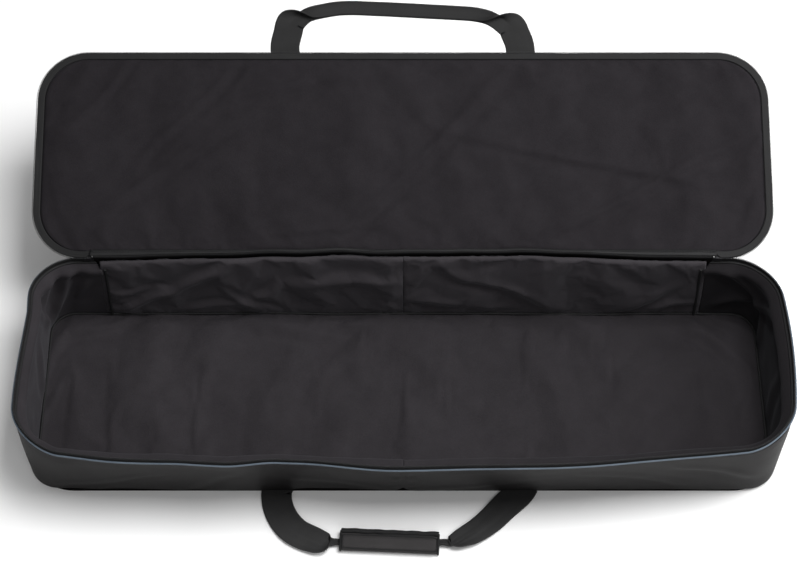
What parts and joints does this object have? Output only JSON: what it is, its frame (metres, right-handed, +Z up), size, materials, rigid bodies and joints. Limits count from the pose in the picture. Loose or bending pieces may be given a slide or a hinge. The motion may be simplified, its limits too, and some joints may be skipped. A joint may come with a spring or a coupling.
{
  "type": "padded keyboard gig bag",
  "caption": "Soft padded keyboard bag with a zipped lid laid open on a fabric hinge, plush lining, webbing handles and a wrap-around grip.",
  "frame": {"origin": "centre of the base's underside, on the ground", "axes": "+X along the bag, to the right; -Y towards the front, where the gripped handle is; +Z up"},
  "size_m": [1.28, 0.912, 0.3016],
  "materials": {
    "outer_fabric": "matt black woven nylon",
    "plush": "short velour pile, charcoal",
    "foam": "closed-cell foam, grey",
    "binding": "woven binding tape, black",
    "webbing": "flat woven webbing, black",
    "zip_tape": "zip tape, black",
    "zip_coil": "nylon coil, black",
    "piping": "slate-blue piping cord",
    "grip_fabric": "brushed charcoal fabric",
    "hook_and_loop": "hook-and-loop tape, black",
    "zip_metal": "black-coated zinc"
  },
  "bodies": {
    "base": {"bottom_shell": "outer_fabric", "bottom_foam": "foam", "floor_lining": "plush", "floor_seam_binding": "binding", "gusset_shell_left": "outer_fabric", "gusset_shell_right": "outer_fabric", "gusset_foam_left": "foam", "gusset_foam_right": "foam", "gusset_lining_left": "plush", "gusset_lining_right": "plush", "back_shell": "outer_fabric", "back_foam": "foam", "back_lining_left": "plush", "back_lining_right": "plush", "rear_seam_binding_left": "binding", "rear_seam_binding_right": "binding", "rim_binding": "binding", "rim_zip_tape": "zip_tape", "rim_piping": "piping", "rim_zip_coil": "zip_coil", "hinge_tape_base": "binding", "base_strap_left": "webbing", "base_strap_right": "webbing"},
    "lid": {"hinge_binding": "binding", "hinge_tape_lid": "binding", "lid_shell": "outer_fabric", "lid_foam": "foam", "lid_lining": "plush", "lid_zip_tape": "zip_tape", "lid_zip_coil": "zip_coil", "lid_strap_left": "webbing", "lid_strap_right": "webbing"},
    "front_handle": {"front_handle_web": "webbing"},
    "lid_handle": {"lid_handle_web": "webbing"},
    "grip": {"grip_skin": "grip_fabric", "grip_foam": "foam", "grip_hook_strip": "hook_and_loop"},
    "grip_flap": {"grip_flap": "grip_fabric", "flap_loop_strip": "hook_and_loop"},
    "zip_slider_left": {"slider_left": "zip_metal"},
    "zip_slider_right": {"slider_right": "zip_metal"},
    "zip_pull_left": {"pull_left": "zip_metal"},
    "zip_pull_right": {"pull_right": "zip_metal"}
  },
  "joints": [
    {"name": "lid_hinge", "type": "hinge", "parent": "base", "child": "lid", "pos_m": [0, 0.18, 0.1675], "axis": [1, 0, 0], "range_deg": [-30, 162]},
    {"name": "front_handle_hinge", "type": "hinge", "parent": "base", "child": "front_handle", "pos_m": [0, -0.17645, 0.002], "axis": [-1, 0, 0], "range_deg": [0, 60]},
    {"name": "lid_handle_hinge", "type": "hinge", "parent": "lid", "child": "lid_handle", "pos_m": [0, 0.53555, 0.27041], "axis": [1, 0, 0], "range_deg": [-45, 27]},
    {"name": "grip_slide", "type": "slide", "parent": "front_handle", "child": "grip", "axis": [1, 0, 0], "range_m": [-0.026, 0.026]},
    {"name": "grip_flap_hinge", "type": "hinge", "parent": "grip", "child": "grip_flap", "pos_m": [0, -0.288, 0.014], "axis": [1, 0, 0], "range_deg": [0, 150]},
    {"name": "zip_slide_left", "type": "slide", "parent": "base", "child": "zip_slider_left", "axis": [-1, 0, 0], "range_m": [0, 0.014]},
    {"name": "zip_slide_right", "type": "slide", "parent": "base", "child": "zip_slider_right", "axis": [1, 0, 0], "range_m": [0, 0.014]},
    {"name": "zip_pull_left_hinge", "type": "hinge", "parent": "zip_slider_left", "child": "zip_pull_left", "pos_m": [-0.529, 0.1841, 0.1605], "axis": [1, 0, 0], "range_deg": [0, 70]},
    {"name": "zip_pull_right_hinge", "type": "hinge", "parent": "zip_slider_right", "child": "zip_pull_right", "pos_m": [0.529, 0.1841, 0.1605], "axis": [1, 0, 0], "range_deg": [0, 70]}
  ]
}
